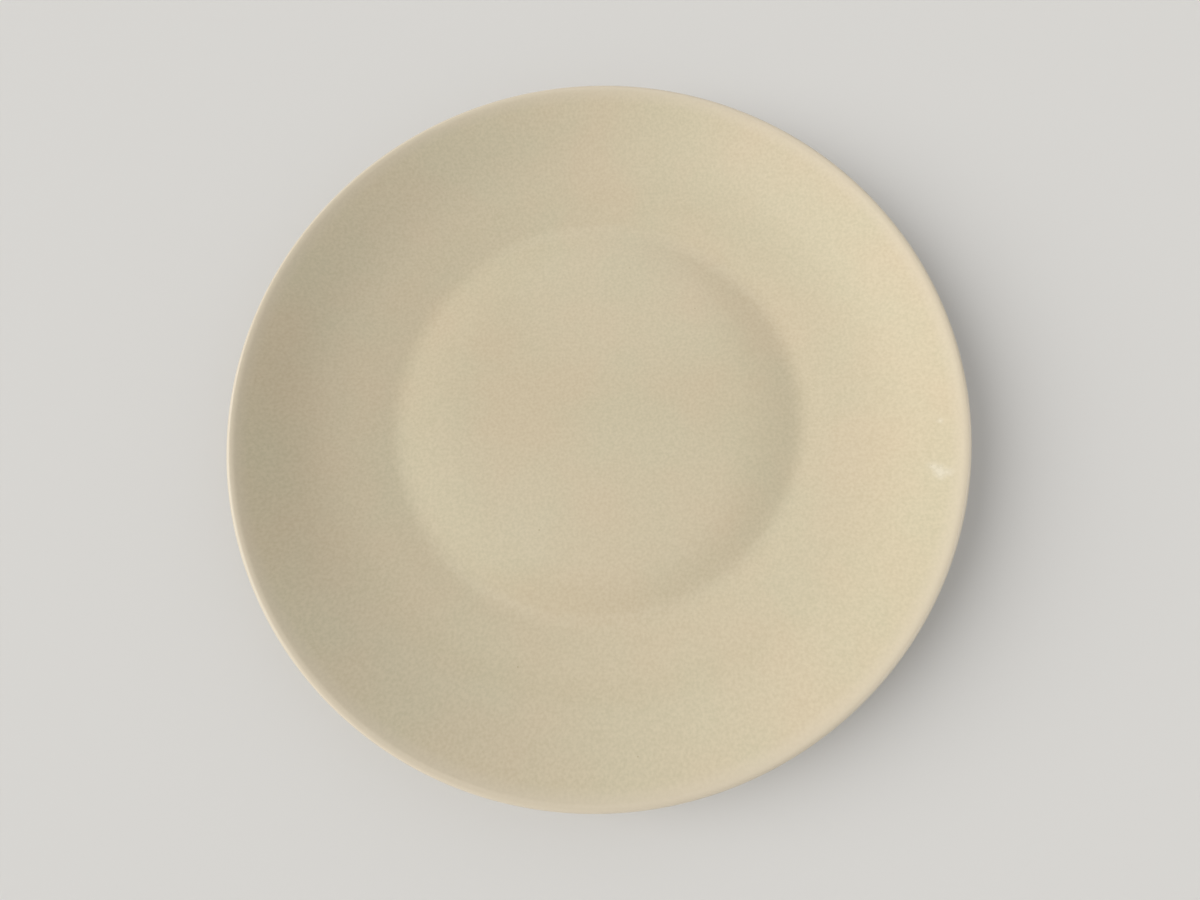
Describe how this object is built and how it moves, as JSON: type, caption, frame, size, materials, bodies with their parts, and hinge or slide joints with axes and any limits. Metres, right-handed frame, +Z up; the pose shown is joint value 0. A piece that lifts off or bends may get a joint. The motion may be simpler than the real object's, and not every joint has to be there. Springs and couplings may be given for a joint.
{
  "type": "dinner plate",
  "caption": "Round coupe dinner plate in cream glazed stoneware: a wide shallow dish with a soft-edged floor, a smoothly rising wall, a rounded lip and a foot ring to stand on.",
  "frame": {"origin": "centre of the circle that the foot ring stands on, at the level of the table", "axes": "+Z up through the middle of the dish; the plate is round about it, so +X and +Y are any two level directions"},
  "size_m": [0.27, 0.27, 0.0227],
  "materials": {
    "cream_glaze": "smooth glossy cream glaze over stoneware, with faint fine speckle; bare fired clay under the foot ring"
  },
  "bodies": {
    "root": {"plate": "cream_glaze"}
  },
  "joints": []
}
